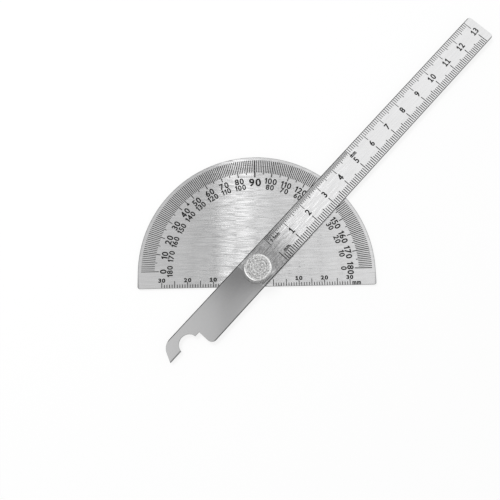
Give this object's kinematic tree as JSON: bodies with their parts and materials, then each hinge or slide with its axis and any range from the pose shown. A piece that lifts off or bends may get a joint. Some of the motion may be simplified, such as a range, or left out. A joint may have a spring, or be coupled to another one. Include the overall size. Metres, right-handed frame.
{
  "type": "bevel protractor",
  "caption": "Flat steel bevel protractor: half-round head graduated in degrees, pivoting rule blade with a hooked tail, and a knurled thumb nut that clamps the angle.",
  "frame": {"origin": "on the pivot axis, in the plane of the head plate's back face, which is what the part rests on", "axes": "+X along the straight base edge, to the right seen from the front; +Y from the pivot towards the 90 degree mark; +Z out of the graduated front"},
  "size_m": [0.1508, 0.1439, 0.0077],
  "materials": {
    "head_steel": "fine brushed along the base edge, black-filled etched graduations",
    "blade_steel": "fine brushed rule, smooth satin tail, black-filled etched graduations",
    "stud_steel": "turned, bright",
    "washer_steel": "bright, tumbled",
    "nut_plate": "turned and knurled, nickel plated"
  },
  "bodies": {
    "head": {"head_plate": "head_steel", "pivot_stud": "stud_steel"},
    "blade": {"blade": "blade_steel"},
    "washer": {"washer": "washer_steel"},
    "nut": {"thumb_nut": "nut_plate"}
  },
  "joints": [
    {"name": "blade_pivot", "type": "hinge", "parent": "head", "child": "blade", "pos_m": [0, 0, 0.00152], "axis": [0, 0, 1], "continuous": true},
    {"name": "nut_lift", "type": "slide", "parent": "head", "child": "washer", "axis": [0, 0, 1], "range_m": [0, 0.0014]},
    {"name": "nut_turn", "type": "hinge", "parent": "washer", "child": "nut", "pos_m": [0, 0, 0.00256], "axis": [0, 0, 1], "range_deg": [0, 720]}
  ],
  "couplings": [
    {"joint": "nut_turn", "follows": "nut_lift", "rad_per_m": 8976}
  ]
}
